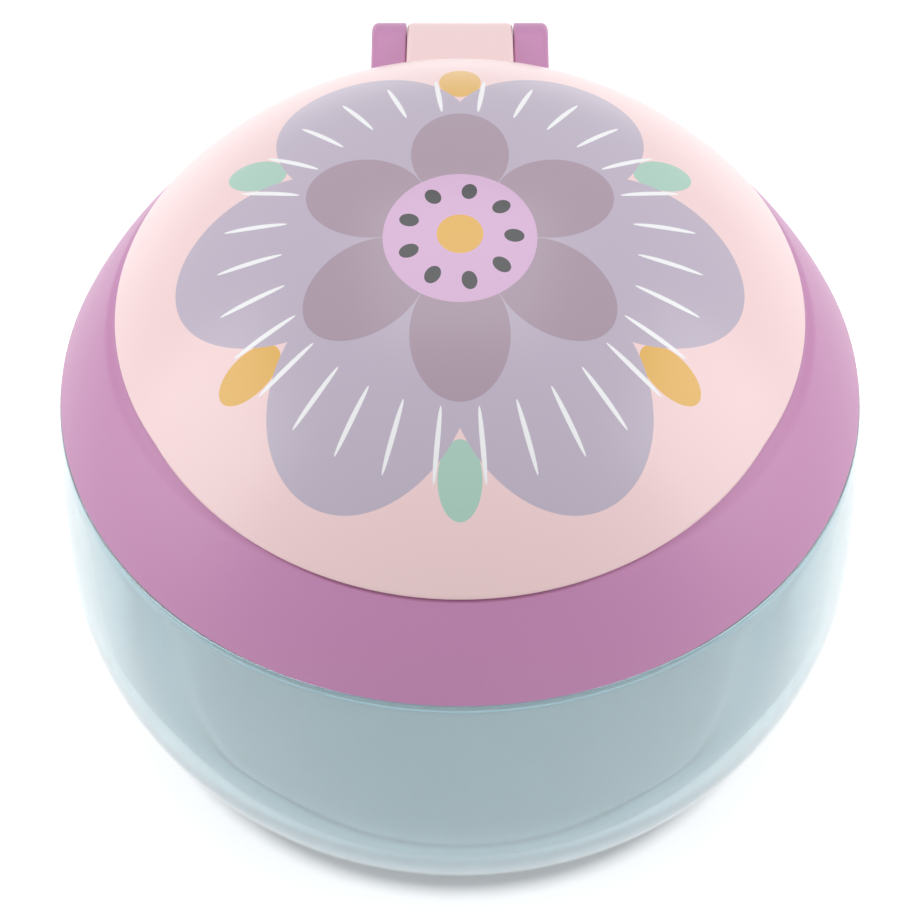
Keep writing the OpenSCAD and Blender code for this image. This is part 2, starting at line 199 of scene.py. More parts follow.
def add(material, kind, inputs, **settings):
    """Adds a shader node; inputs gives its sockets values, or outputs of other nodes."""
    made = material.node_tree.nodes.new("ShaderNode" + kind)
    for name, value in settings.items():
        setattr(made, name, value)
    for socket, value in inputs.items():
        if isinstance(value, bpy.types.NodeSocket):
            material.node_tree.links.new(value, made.inputs[socket])
        else:
            made.inputs[socket].default_value = value
    return made


def calc(material, operation, *values):
    """Adds a Math node for numbers or outputs of other nodes, and gives its result."""
    return add(material, "Math", dict(enumerate(values)), operation=operation).outputs[0]


def length_of(material, vector):
    """The length of a vector in a material."""
    return add(material, "VectorMath", {0: vector}, operation="LENGTH").outputs["Value"]


def across_axis(material, vector):
    """A vector in a material without its part along the axis."""
    return add(material, "VectorMath", {0: vector, 1: (1, 1, 0)}, operation="MULTIPLY").outputs[0]


def start_material(name, **values):
    """A material and its surface shader, with the values that are the same all over it."""
    material = bpy.data.materials.new(name)
    material.use_nodes = True
    shader = material.node_tree.nodes["Principled BSDF"]
    for socket, value in values.items():
        shader.inputs[socket.replace("_", " ")].default_value = value
    return material, shader


def drive(material, shader, **nodes):
    """Links sockets of the surface shader to the nodes that vary them."""
    for socket, node in nodes.items():
        material.node_tree.links.new(node.outputs[0], shader.inputs[socket.replace("_", " ")])


def place(piece, material, slot, body, *nodes):
    """Shrinks a finished piece to metres, smooths it and sets it on its CAD body."""
    bpy.ops.object.select_all(action="DESELECT")
    piece.select_set(True)
    bpy.context.view_layer.objects.active = piece
    bpy.ops.object.transform_apply()
    piece.scale = (MM, MM, MM)
    bpy.ops.object.transform_apply()
    bpy.ops.object.shade_smooth_by_angle(angle=math.radians(35))
    piece.data.materials.clear()
    piece.data.materials.append(material)
    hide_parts(*nodes)
    if body:
        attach(piece, body)


def cup_profile():
    """The cup's closed line: base, side, shoulder and lip outside, then down the inside."""
    low_r = (base_draw ** 2 + belly_z ** 2) / (2 * base_draw)
    low_x = belly_r - low_r
    rise = seam_z - belly_z
    high_r = (belly_bulge ** 2 + rise ** 2) / (2 * belly_bulge)
    high_x = belly_r - high_r
    edge, root, ceiling_round, floor_round = 0.5, 0.8, 0.8, 6.0
    corner_x = low_x + math.sqrt((low_r - base_round) ** 2 - (belly_z - base_round) ** 2)
    corner_a = math.degrees(math.atan2(base_round - belly_z, corner_x - low_x))
    edge_z = shoulder_z - edge
    edge_a = math.degrees(math.asin((edge_z - belly_z) / high_r))
    edge_x = high_x + high_r * math.cos(math.radians(edge_a)) - edge
    outside = (
        [(0, 0), (12, 0), (24, 0)]
        + arc(corner_x, base_round, base_round, -90, corner_a, 8)
        + arc(low_x, belly_z, low_r, corner_a, 0, 26)[1:]
        + arc(high_x, belly_z, high_r, 0, edge_a, 12)[1:]
        + arc(edge_x, edge_z, edge, edge_a, 90, 6)[1:]
        + arc(neck_r + root, shoulder_z + root, root, 270, 180, 5)
        + arc(neck_r - edge, lip_z - edge, edge, 0, 90, 5)
    )
    ceiling_z = shoulder_z - shoulder_t
    top_z = ceiling_z - ceiling_round
    top_x = high_x + math.sqrt((high_r - cup_wall - ceiling_round) ** 2 - (top_z - belly_z) ** 2)
    top_a = math.degrees(math.atan2(top_z - belly_z, top_x - high_x))
    low_z = floor_t + floor_round
    foot_x = low_x + math.sqrt((low_r - cup_wall - floor_round) ** 2 - (belly_z - low_z) ** 2)
    foot_a = math.degrees(math.atan2(low_z - belly_z, foot_x - low_x))
    inside = (
        arc(neck_in + edge, lip_z - edge, edge, 90, 180, 5)
        + arc(neck_in + root, ceiling_z + root, root, 180, 270, 5)
        + arc(top_x, top_z, ceiling_round, 90, top_a, 8)
        + arc(high_x, belly_z, high_r - cup_wall, top_a, 0, 12)[1:]
        + arc(low_x, belly_z, low_r - cup_wall, 0, foot_a, 20)[1:]
        + arc(foot_x, low_z, floor_round, foot_a, -90, 10)[1:]
        + [(14, floor_t), (0, floor_t)]
    )
    return outside + inside


# Polypropylene, injection blown: clear with a light haze, so that what lies behind it is
# soft, and deeper aqua where the light runs a long way through it. Low on the outer wall
# its colour is also painted a deeper aqua: painted shade for the long light paths there,
# and a little for the thicker corner by the floor.
cup_plastic, shader = start_material(
    "haze_clear_polypropylene", IOR=1.49, Transmission_Weight=0.84, Roughness=0.05,
    Coat_Weight=0.3, Coat_Roughness=0.04)
spot = add(cup_plastic, "TexCoord", {}).outputs["Object"]
haze = add(cup_plastic, "TexNoise", {"Vector": spot, "Scale": 60.0, "Detail": 2.0})
tint = add(cup_plastic, "MixRGB", {
    "Fac": haze.outputs["Fac"], "Color1": linear("#E0EEF0"), "Color2": linear("#EAF4F5")})
axes = add(cup_plastic, "SeparateXYZ", {0: spot}).outputs
outward = length_of(cup_plastic, across_axis(cup_plastic, spot))
# Painted shade: the base colour turns deeper aqua low on the outer wall, standing for the long
# light paths there; only near the floor is the wall really thicker.
low = add(cup_plastic, "MapRange", {
    "Value": axes["Z"], "From Min": deep_top_z * MM, "From Max": deep_low_z * MM})
wall = add(cup_plastic, "MapRange", {
    "Value": outward, "From Min": deep_in_r * MM, "From Max": deep_out_r * MM})
thick_corner_and_painted_shade = calc(cup_plastic, "MULTIPLY", low.outputs[0], wall.outputs[0])
deep = add(cup_plastic, "MixRGB", {
    "Fac": thick_corner_and_painted_shade, "Color1": tint.outputs[0], "Color2": linear("#B2D7E2")})
drive(cup_plastic, shader, Base_Color=deep)
depth = add(cup_plastic, "VolumeAbsorption", {"Color": linear("#74C4D8"), "Density": 86.0})
cup_plastic.node_tree.links.new(
    depth.outputs[0], cup_plastic.node_tree.nodes["Material Output"].inputs["Volume"])

cup = turned("cup_body", cup_profile())
combine(cup, thread_ribs("cup_ribs", neck_r, 1, cup_rib_w, cup_rib_arc, 0, thread_z))
place(cup, cup_plastic, "cup_aqua", "cup", "cup")

# Seal: the flat silicone ring that lies on the neck's lip under the collar.
# It is moulded in one piece, milky and soft, with rounded edges.
seal_low, seal_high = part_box("cup_seal")
seal_r = seal_high.x / MM
seal_in = neck_in - 0.3
seal_round = 0.45
seal_profile = (
    arc(seal_r - seal_round, seal_low.z / MM + seal_round, seal_round, -90, 0, 5)
    + arc(seal_r - seal_round, seal_high.z / MM - seal_round, seal_round, 0, 90, 5)
    + arc(seal_in + seal_round, seal_high.z / MM - seal_round, seal_round, 90, 180, 5)
    + arc(seal_in + seal_round, seal_low.z / MM + seal_round, seal_round, 180, 270, 5)
)

# Silicone rubber, pressed: milky white with a dull, slightly waxy face.
silicone, shader = start_material(
    "pressed_silicone", IOR=1.41, Roughness=0.45, Subsurface_Weight=0.25, Subsurface_Scale=0.002)
spot = add(silicone, "TexCoord", {}).outputs["Object"]
cloud = add(silicone, "TexNoise", {"Vector": spot, "Scale": 400.0, "Detail": 3.0})
milky = add(silicone, "MixRGB", {
    "Fac": cloud.outputs["Fac"], "Color1": linear("#E4E6E6"), "Color2": linear("#EFF0EF")})
drive(silicone, shader, Base_Color=milky)

seal = turned("seal_ring", seal_profile + seal_profile[:1])
place(seal, silicone, "seal_silicone", "seal", "cup_seal")

# Collar: the domed ring that screws on the neck, moulded in purple polypropylene.
# One closed line gives its crown, the hollow round the lid's edge, the coaming, the
# spigot and the threaded skirt; the lugs, ribs and catch bead are joined to it.
collar_h = 11.8
land_z = seam_z + collar_h
crown_drop = 19.1
crown_z = seam_z - crown_drop
crown_r = math.hypot(seam_r, crown_drop)
collar_wall = 2.0
band_step = 0.3
band_w = 1.2
bore_r = neck_r + thread_depth + 0.35
skirt_wall = 1.6
skirt_z = seam_z + 0.4
flange_z = land_z - 1.8
spigot_r = neck_in - 0.6
spigot_in = spigot_r - 1.6
spigot_z = flange_z - 5.0
ledge_z = seal_high.z / MM + 0.1
coaming_in = spigot_in - 2.0
coaming_r = coaming_in + 1.6
coaming_z = land_z + 2.2
lip_round = 0.5
lid_edge_r = math.sqrt(crown_r ** 2 - (land_z - crown_z) ** 2) + 0.25
band_r = lid_edge_r + band_w
lip_start = 19.5
lip_slope = math.tan(math.radians(5.3))
pin_low, pin_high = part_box("hinge_pin")
hinge_y = (pin_low.y + pin_high.y) / 2 / MM
hinge_z = (pin_low.z + pin_high.z) / 2 / MM
pin_r = (pin_high.z - pin_low.z) / 2 / MM
pin_half = pin_high.x / MM
pin_play = 0.01
knuckle_r = 3.9
knuckle_round = 0.8
barrel_w = 12.2
lug_x = barrel_w / 2 + 0.25
lug_t = 4.1
lug_inner_share = 0.25
seat_gap = 2.3
pocket_play = 0.4
bead_t = 0.15
bead_drop = 0.9
rib_lag = 1.35
collar_rib_w = 1.3
collar_rib_arc = 48
collar_rib_turn = 12


def collar_profile():
    """The collar's closed line, from the foot of its crown round to the skirt."""
    inner_r = crown_r - collar_wall
    band_in = crown_r - band_step
    core_r = bore_r + skirt_wall + 0.8
    foot_a = math.degrees(math.asin(crown_drop / crown_r))
    band_a = math.degrees(math.acos(band_r / crown_r))
    sunk_a = math.degrees(math.acos(lid_edge_r / band_in))
    land_a = math.degrees(math.asin((land_z - crown_z) / band_in))
    hollow = []
    for i in range(1, 11):
        share = i / 10
        depth = band_step * share * share * (3 - 2 * share)
        hollow += arc(0, crown_z, crown_r - depth, band_a + (sunk_a - band_a) * share, 0, 1)[:1]
    return (
        arc(0, crown_z, crown_r, foot_a, band_a, 24)
        + hollow
        + arc(0, crown_z, band_in, land_a, land_a, 1)[:1]
        + [(coaming_r, land_z)]
        + arc(coaming_r - lip_round, coaming_z - lip_round, lip_round, 0, 90, 5)
        + arc(coaming_in + lip_round, coaming_z - lip_round, lip_round, 90, 180, 5)
        + [(coaming_in, flange_z), (spigot_in, flange_z), (spigot_in, spigot_z)]
        + [(spigot_r, spigot_z), (spigot_r, ledge_z), (bore_r, ledge_z), (bore_r, skirt_z)]
        + [(bore_r + skirt_wall, skirt_z)]
        + [(bore_r + skirt_wall, crown_z + math.sqrt(inner_r ** 2 - core_r ** 2))]
        + arc(0, crown_z, inner_r, math.degrees(math.acos(core_r / inner_r)),
              math.degrees(math.asin(crown_drop / inner_r)), 8)
        + arc(0, crown_z, crown_r, foot_a, foot_a, 1)[:1]
    )


def slab(name, outline, width, middle=0.0):
    """A plate with that outline, in depth and height, and that width across the cup."""
    closed = outline + outline[:1]
    piece = trace(name, [(middle - width / 2, y, z) for y, z in closed])
    bpy.ops.mesh.remove_doubles(threshold=WELD)
    bpy.ops.mesh.select_all(action="SELECT")
    bpy.ops.mesh.edge_face_add()
    bpy.ops.mesh.extrude_region_move(TRANSFORM_OT_translate={"value": (width, 0, 0)})
    close_shell()
    return piece


def disc(radius, height, sides=SPIN_STEPS, middle=(0, 0, 0), turn=0.0):
    """An upright cylinder to cut with, or a prism where it has few sides."""
    bpy.ops.object.select_all(action="DESELECT")
    bpy.ops.mesh.primitive_cylinder_add(
        vertices=sides, radius=radius, depth=height, location=middle, rotation=(0, 0, turn))
    return bpy.context.object


def bar(name, radius, half_length, sides=48):
    """A round bar along the hinge's axis."""
    bpy.ops.object.select_all(action="DESELECT")
    bpy.ops.mesh.primitive_cylinder_add(
        vertices=sides, radius=radius, depth=2 * half_length,
        location=(0, hinge_y, hinge_z), rotation=(0, math.pi / 2, 0))
    piece = bpy.context.object
    piece.name = name
    bpy.ops.object.transform_apply()
    return piece


# Polypropylene, moulded in a finely blasted tool: satin purple, a little deeper in the
# hollows of its grain, with broad soft highlights and no mirror.
collar_plastic, shader = start_material(
    "satin_purple_polypropylene", IOR=1.49, Specular_IOR_Level=0.5)
spot = add(collar_plastic, "TexCoord", {}).outputs["Object"]
grain = add(collar_plastic, "TexNoise", {"Vector": spot, "Scale": 1 / (0.5 * MM), "Detail": 3.0})
flow = add(collar_plastic, "TexNoise", {"Vector": spot, "Scale": 1 / (30 * MM), "Detail": 2.0})
purple = add(collar_plastic, "MixRGB", {
    "Fac": flow.outputs["Fac"], "Color1": linear("#BE81AE"), "Color2": linear("#C488B5")})
satin = add(collar_plastic, "MapRange", {
    "Value": grain.outputs["Fac"], "To Min": 0.36, "To Max": 0.46})
bump = add(collar_plastic, "Bump", {
    "Height": grain.outputs["Fac"], "Strength": 0.08, "Distance": 0.02 * MM})
drive(collar_plastic, shader, Base_Color=purple, Roughness=satin, Normal=bump)

collar = turned("collar_ring", collar_profile())
break_edges(collar, 0.2, segments=3, sharp=30)

reach = seam_r + 10
seat = slab("lip_seat", [
    (-lip_start, land_z), (-reach, land_z - (reach - lip_start) * lip_slope),
    (-reach, land_z + 20), (-lip_start, land_z + 20)], 2 * reach)
combine(seat, disc(coaming_r + seat_gap, 4 * land_z), "DIFFERENCE")
combine(collar, seat, "DIFFERENCE")
combine(collar, bar("barrel_pocket", knuckle_r + pocket_play, lug_x, 96), "DIFFERENCE")

lug_outline = arc(hinge_y, hinge_z, knuckle_r, -100, 112, 28) + [
    (lid_edge_r - 0.5, land_z - 0.9), (bore_r + skirt_wall / 2, spigot_z - 0.9)]
lug_middle = lug_x + lug_t / 2
for side in (-1, 1):
    lug = slab("lug", lug_outline, lug_t, side * lug_middle)
    rounding = lug.data.attributes.new("bevel_weight_edge", "FLOAT", "EDGE")
    for edge, weight in zip(lug.data.edges, rounding.data):
        ends = [lug.data.vertices[i].co.x * side for i in edge.vertices]
        if min(ends) > lug_middle:
            weight.value = 1.0
        elif max(ends) < lug_middle:
            weight.value = lug_inner_share
    modify(lug, "BEVEL", width=knuckle_round, segments=4, limit_method="WEIGHT")
    combine(collar, lug)
combine(collar, bar("pin_hole", pin_r, lug_x + lug_t + 1), "DIFFERENCE")


def front_bead(name, thickness, wall_r):
    """A round bead along a wall at the front, where the lid's skirt snaps over the coaming."""
    bead_arc = 40
    piece = trace(name, [(x, 0, z) for x, z in arc(
        wall_r, coaming_z - bead_drop, thickness, 0, 360, 16)])
    bpy.ops.mesh.remove_doubles(threshold=WELD)
    bpy.ops.mesh.select_all(action="SELECT")
    bpy.ops.mesh.edge_face_add()
    bpy.ops.mesh.spin(steps=20, angle=math.radians(bead_arc), center=(0, 0, 0), axis=(0, 0, 1))
    close_shell()
    piece.rotation_euler.z = math.radians(-90 - bead_arc / 2)
    return piece


combine(collar, front_bead("catch_bead", bead_t, coaming_r))
combine(collar, thread_ribs(
    "collar_ribs", bore_r, -1, collar_rib_w, collar_rib_arc, collar_rib_turn,
    thread_z - rib_lag + thread_lead * collar_rib_turn / 360))
place(collar, collar_plastic, "collar_purple", "collar", "collar")

# Hinge pin: a length of drawn stainless wire pressed through the lugs and the barrel.
# Its cut ends are broken with a small bevel and lie just inside the lugs.
steel, shader = start_material("drawn_stainless_wire", Metallic=1.0)
spot = add(steel, "TexCoord", {}).outputs["Object"]
lines = add(steel, "Mapping", {"Vector": spot, "Scale": (100.0, 8000.0, 8000.0)})
draw_marks = add(steel, "TexNoise", {"Vector": lines.outputs[0], "Scale": 1.0, "Detail": 2.0})
shine = add(steel, "MapRange", {
    "Value": draw_marks.outputs["Fac"], "To Min": 0.22, "To Max": 0.4})
grey = add(steel, "MixRGB", {
    "Fac": draw_marks.outputs["Fac"], "Color1": linear("#BFC2C4"), "Color2": linear("#D6D8D9")})
drive(steel, shader, Roughness=shine, Base_Color=grey)

pin = bar("hinge_wire", pin_r - pin_play, pin_half)
break_edges(pin, 0.25)
place(pin, steel, "pin_steel", "collar", "hinge_pin")

# Insert: the soft ring in the opening with eight flaps that a small hand pushes aside.
# Ring and flaps are one moulding of matt elastomer; each flap bends at a thin groove.
flap_count = 8
ring_low, ring_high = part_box("flap_ring")
ring_z = ring_low.z / MM
ring_t = 1.6
ring_top = ring_z + ring_t
insert_r = ring_high.x / MM
rim_r = coaming_in - 0.3
rim_wall = 2.0
rim_in = rim_r - rim_wall
half_turn = math.pi / flap_count
opening = rim_in * math.cos(half_turn) - 2.8
uncut_r = opening - 2
root_r = 0.25
root_a = opening - 0.3 - root_r
opening_corner = opening / math.cos(half_turn)
slit_w = 0.7
flap_t = 1.2
web_t = 0.4
web_l = 1.4
flap_crown = 2.0
tip_r = 2.0
soft_edge = 0.12
cut_h = 4 * ring_t

# Thermoplastic elastomer: matt blush with a dry, slightly powdery face and no sharp light.
elastomer, shader = start_material(
    "matt_blush_elastomer", IOR=1.5, Sheen_Weight=0.15, Sheen_Roughness=0.5)
spot = add(elastomer, "TexCoord", {}).outputs["Object"]
powder = add(elastomer, "TexNoise", {"Vector": spot, "Scale": 1 / (0.4 * MM), "Detail": 4.0})
blush = add(elastomer, "MixRGB", {
    "Fac": powder.outputs["Fac"], "Color1": linear("#E3B6CC"), "Color2": linear("#EABFD3")})
dry = add(elastomer, "MapRange", {"Value": powder.outputs["Fac"], "To Min": 0.55, "To Max": 0.7})
bump = add(elastomer, "Bump", {
    "Height": powder.outputs["Fac"], "Strength": 0.15, "Distance": 0.03 * MM})
drive(elastomer, shader, Base_Color=blush, Roughness=dry, Normal=bump)

ring_profile = (
    [(uncut_r, ring_z)]
    + arc(insert_r - 0.4, ring_z + 0.4, 0.4, -90, 0, 4)
    + arc(insert_r - 0.2, ring_top - 0.2, 0.2, 0, 90, 3)
    + [(rim_r, ring_top)]
    + arc(rim_r - rim_wall / 2, ring_high.z / MM - rim_wall / 2, rim_wall / 2, 0, 180, 10)
    + [(rim_in, ring_top), (uncut_r, ring_top), (uncut_r, ring_z)]
)
ring = turned("insert_ring", ring_profile)
octagon = disc(opening_corner, cut_h, flap_count, (0, 0, ring_z), half_turn + math.pi / 2)
combine(ring, octagon, "DIFFERENCE")
for i in range(flap_count):
    turn = half_turn * (2 * i + 1) - math.pi / 2
    slit_end = (opening_corner * math.cos(turn), opening_corner * math.sin(turn), ring_z)
    combine(ring, disc(slit_w, cut_h, 24, slit_end), "DIFFERENCE")
break_edges(ring, soft_edge)
place(ring, elastomer, "insert_soft", "insert", "flap_ring")


def flap_outline():
    """A flap's section: crowned towards the middle, thin at the groove where it bends."""
    thick_x = root_a - web_l
    stations = [opening, root_a, root_a - web_l / 2, thick_x] + [
        thick_x - (thick_x - tip_r) * i / 10 for i in range(1, 11)]
    over, under = [], []
    for x in stations:
        height = ring_z + ring_t / 2 + flap_crown * (1 - (x / root_a) ** 2)
        half = (web_t + (flap_t - web_t) * min(1, max(0, root_a - x) / web_l)) / 2
        over.append((x, height + half))
        under.insert(0, (x, height - half))
    return over + under


def cut_off(point, normal):
    """Cuts the shape in edit mode with a plane, drops what lies beyond it and closes it."""
    bpy.ops.mesh.select_all(action="SELECT")
    bpy.ops.mesh.bisect(plane_co=point, plane_no=normal, use_fill=True, clear_outer=True)


for i in range(flap_count):
    flap = slab(f"insert_flap_{i + 1}", flap_outline(), 2 * root_a)
    bpy.ops.object.mode_set(mode="EDIT")
    for side in (-1, 1):
        across = Vector((side * math.cos(half_turn), -math.sin(half_turn), 0))
        cut_off(across * -slit_w / 2, across)
    close_shell()
    break_edges(flap, soft_edge)
    flap.rotation_euler.z = math.pi + 2 * half_turn * i
    place(flap, elastomer, "insert_soft", None, f"flap_{i + 1}")
    turn = 2 * half_turn * i - math.pi / 2
    outward = Vector((math.cos(turn), math.sin(turn), 0)) * MM
    middle = Vector((0, 0, (ring_z + ring_t / 2) * MM))
    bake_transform(flap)

# Lid: the hinged dome, moulded in pale pink polypropylene with a recess for the label.
# Its closed line is spun, the rim is slid down the dome at the front to make the thumb
# lip, and the arm with the hinge barrel is joined on.
rim_z = land_z + 0.3
dome_h = 19.6
dome_r = (lid_edge_r ** 2 + dome_h ** 2) / (2 * dome_h)
dome_z = rim_z + dome_h - dome_r
lid_wall = 2.0
rim_lap = 0.12
rim_round = 0.3
bore_play = 0.05
groove_t = 0.3
arm_play = 0.1
snap_in = coaming_r + 0.45
snap_out = snap_in + 1.2
label_r = (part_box("lid_label")[1].x) / MM
label_t = 0.3


def bend(before, corner, after, radius, steps=5):
    """Points that round a corner of a profile."""
    corner = Vector(corner)
    back = (Vector(before) - corner).normalized()
    on = (Vector(after) - corner).normalized()
    half = back.angle(on) / 2
    centre = corner + (back + on).normalized() * radius / math.sin(half)
    first = corner + back * radius / math.tan(half) - centre
    last = corner + on * radius / math.tan(half) - centre
    return [tuple(centre + first.slerp(last, i / steps) * radius) for i in range(steps + 1)]


def on_dome(radius, distance):
    """The point of a sphere about the dome's centre that lies at a distance from the axis."""
    return (distance, dome_z + math.sqrt(radius ** 2 - distance ** 2))


def dome_arc(radius, start, end, steps):
    """Points down or up a sphere about the dome's centre, between distances from the axis."""
    angles = [math.degrees(math.acos(d / radius)) for d in (start, end)]
    return arc(0, dome_z, radius, angles[0], angles[1], steps)


def lid_profile():
    """The lid's closed line, from the middle of the label's recess to the inside."""
    inner = dome_r - lid_wall
    rim_in_r = math.sqrt(inner ** 2 - (rim_z - dome_z) ** 2)
    edge = on_dome(dome_r, lid_edge_r + rim_lap)
    outer = dome_arc(dome_r, label_r, lid_edge_r - rim_round, 8) + [edge]
    wall = dome_arc(inner, rim_in_r, snap_out, 4)
    rim = (
        bend(outer[-2], edge, (rim_in_r, rim_z), rim_round)
        + bend(edge, wall[0], wall[1], 0.2, 3)
    )
    skirt = [
        (snap_out, rim_z + 0.2), (snap_out - 0.2, rim_z),
        (snap_in + 0.2, rim_z), (snap_in, rim_z + 0.2)]
    return (
        dome_arc(dome_r - label_t, 0, label_r, 30)
        + outer[:-1] + rim + wall[1:] + skirt
        + dome_arc(inner, snap_in, 0, 30)
    )


def lip_turn(side):
    """The angle by which the rim turns down; side is -1 at the back and 1 in front."""
    lean = side * lip_slope
    level = (rim_z - dome_z + lip_start * lip_slope) / dome_r
    lip_a = math.asin(level / math.hypot(1, lean)) - math.atan(lean)
    return max(0.0, math.asin((rim_z - dome_z) / dome_r) - lip_a)


def slide_lip(lid):
    """Slides the rim down the dome at the front, and less so the higher a point lies."""
    skirt_depth = 0.05
    skirt_reach = 0.5
    for vertex in lid.data.vertices:
        flat = math.hypot(vertex.co.x, vertex.co.y)
        far = math.hypot(flat, vertex.co.z - dome_z)
        outside = far > dome_r - lid_wall / 2
        ball, edge = (dome_r, label_r + WELD) if outside else (dome_r - lid_wall, snap_out)
        reach = edge if outside else edge - skirt_reach
        if far < dome_r - lid_wall - skirt_depth or flat <= reach:
            continue
        free = math.acos(edge / ball)
        held = math.asin((rim_z - dome_z) / ball)
        angle = math.atan2(vertex.co.z - dome_z, flat)
        share = min(1.0, max(0.0, (free - angle) / (free - held)))
        angle -= lip_turn(-vertex.co.y / flat) * share
        vertex.co.x *= far * math.cos(angle) / flat
        vertex.co.y *= far * math.cos(angle) / flat
        vertex.co.z = dome_z + far * math.sin(angle)


def pink_melt(material, spot):
    """The lid's pale pink, a touch warmer and cooler from place to place."""
    flow = add(material, "TexNoise", {"Vector": spot, "Scale": 1 / (35 * MM), "Detail": 2.0})
    return add(material, "MixRGB", {
        "Fac": flow.outputs["Fac"], "Color1": linear("#F0CFD1"), "Color2": linear("#F3D5D6")})


# Polypropylene, moulded in a fine polished tool: pale pink with a soft gloss that varies
# a little with the tool's grain.
lid_plastic, shader = start_material("soft_gloss_pink_polypropylene", IOR=1.49)
spot = add(lid_plastic, "TexCoord", {}).outputs["Object"]
grain = add(lid_plastic, "TexNoise", {"Vector": spot, "Scale": 1 / (2 * MM), "Detail": 1.0})
pink = pink_melt(lid_plastic, spot)
gloss = add(lid_plastic, "MapRange", {
    "Value": grain.outputs["Fac"], "To Min": 0.285, "To Max": 0.33})
bump = add(lid_plastic, "Bump", {
    "Height": grain.outputs["Fac"], "Strength": 0.1, "Distance": 0.01 * MM})
drive(lid_plastic, shader, Base_Color=pink, Roughness=gloss, Normal=bump)

lid = turned("lid_dome", lid_profile())
slide_lip(lid)
arm_outline = arc(hinge_y, hinge_z, knuckle_r, -200, 73, 32) + [
    (lid_edge_r - 1.8, rim_z + 1.9), (lid_edge_r - 1.7, rim_z), (lid_edge_r - 0.7, rim_z)]
arm = slab("arm", arm_outline, 2 * (lug_x - arm_play))
break_edges(arm, knuckle_round, segments=4)
combine(lid, arm)
combine(lid, bar("barrel_bore", pin_r + bore_play, barrel_w / 2 + 1), "DIFFERENCE")
combine(lid, front_bead("catch_groove", groove_t, snap_in), "DIFFERENCE")
place(lid, lid_plastic, "lid_pink", "lid", "lid_shell")

# Label: a printed film moulded flush into the dome, with a big plain blossom and leaves.
# It is a thin cap of the same sphere, and its print is worked out in millimetres of arc
# from the blossom's middle.
label_profile = (
    dome_arc(dome_r, 0, label_r, 40)
    + dome_arc(dome_r - label_t + 0.01, label_r, 0, 40)
)
blossom_lean = math.radians(9)

print_film, shader = start_material("printed_gloss_film", IOR=1.5)
spot = add(print_film, "TexCoord", {}).outputs["Object"]
leaned = add(print_film, "Mapping", {
    "Vector": spot, "Location": (0, 0, dome_z * MM), "Rotation": (blossom_lean, 0, 0),
    "Scale": (MM, MM, MM)}, vector_type="TEXTURE").outputs[0]
axes = add(print_film, "SeparateXYZ", {0: leaned}).outputs
reach_out = length_of(print_film, across_axis(print_film, leaned))
down = calc(print_film, "ARCTAN2", reach_out, axes["Z"])
way = calc(print_film, "MULTIPLY", down, dome_r)
turn_angle = calc(print_film, "ARCTAN2", axes["Y"], axes["X"])


def wedge(count, offset):
    """Folds the print into equal wedges, as the place along and across the nearest one."""
    step = math.tau / count
    moved = calc(print_film, "ADD", turn_angle, offset + step / 2 + math.tau)
    folded = calc(print_film, "MODULO", moved, step)
    angle = calc(print_film, "SUBTRACT", folded, step / 2)
    x = calc(print_film, "MULTIPLY", calc(print_film, "COSINE", angle), way)
    y = calc(print_film, "MULTIPLY", calc(print_film, "SINE", angle), way)
    return x, y


def oval(place_xy, middle, half_long, half_wide):
    """Where an oval on a wedge's middle line is printed: 1 inside it and 0 outside."""
    x = calc(print_film, "SUBTRACT", place_xy[0], middle)
    x = calc(print_film, "DIVIDE", x, half_long)
    y = calc(print_film, "DIVIDE", place_xy[1], half_wide)
    from_middle = add(print_film, "CombineXYZ", {0: x, 1: y}).outputs[0]
    return calc(print_film, "LESS_THAN", length_of(print_film, from_middle), 1.0)


def print_over(under, mask, hex_code):
    """Prints one colour over what is there."""
    return add(print_film, "MixRGB", {
        "Fac": mask, "Color1": under, "Color2": linear(hex_code)}).outputs[0]


petals = wedge(6, 0.0)
between = wedge(6, math.pi / 6)
leaves = wedge(3, math.pi / 6)
leaves_too = wedge(3, math.pi / 2)
rays = wedge(30, 0.0)
seeds = wedge(9, 0.0)
motifs = [
    (leaves, 26.5, 4.2, 2.4, "#E3B35A"),
    (leaves_too, 26.5, 4.2, 2.4, "#A9CDBF"),
    (petals, 19.5, 13.3, 10.6, "#BDB2C4"),
    (between, 11.5, 7.0, 5.2, "#AB97A7"),
    (rays, 23.0, 4.0, 0.28, "#F2F3F5"),
    (petals, 0.0, 8.0, 8.0, "#D7B2D5"),
    (seeds, 5.6, 1.05, 0.8, "#434446"),
    (petals, 0.0, 2.4, 2.4, "#E3B35A"),
]
colour = pink_melt(print_film, spot).outputs[0]
for wedges, middle, half_long, half_wide, ink in motifs:
    colour = print_over(colour, oval(wedges, middle, half_long, half_wide), ink)
print_film.node_tree.links.new(colour, shader.inputs["Base Color"])
shader.inputs["Roughness"].default_value = 0.29

label = turned("lid_print", label_profile)
place(label, print_film, "label_film", "lid", "lid_label")

# Table and light: a plain white table with its back far off, and a broad, soft studio
# light. The camera looks down on the cup from in front, as the photograph does.
table_side = 4
table_drop = 0.05 * MM
table_light = 0.8
table_shown = 0.85
world_light = 0.5
# A faint glow on the table, painted light, lifts it under the cup, drops to a painted
# contact shadow round its foot and rises again outside. Each stop is a share of the reach
# and a level. Rays that come through the plastic see this painted ring drawn wider, which
# paints shade on the cup's lower wall.
glow_reach = 0.05
glow_reach_through = 0.058
painted_light_and_shadow_stops = [
    (0.0, 0.48), (0.60, 0.48), (0.70, 0.3), (0.72, 0.12),
    (0.745, 0.12), (0.768, 0.42), (0.788, 0.6)]


def shows_background(material, ray):
    """1 for a ray that shows the background: the camera's, or one off gloss or through plastic."""
    seen = calc(material, "MAXIMUM", ray["Is Camera Ray"], ray["Is Glossy Ray"])
    return calc(material, "MAXIMUM", seen, ray["Is Transmission Ray"])


def matt_white(level):
    """The table's matt surface with that reflectance."""
    return add(table_white, "BsdfDiffuse", {"Color": (level, level, level, 1)}).outputs[0]


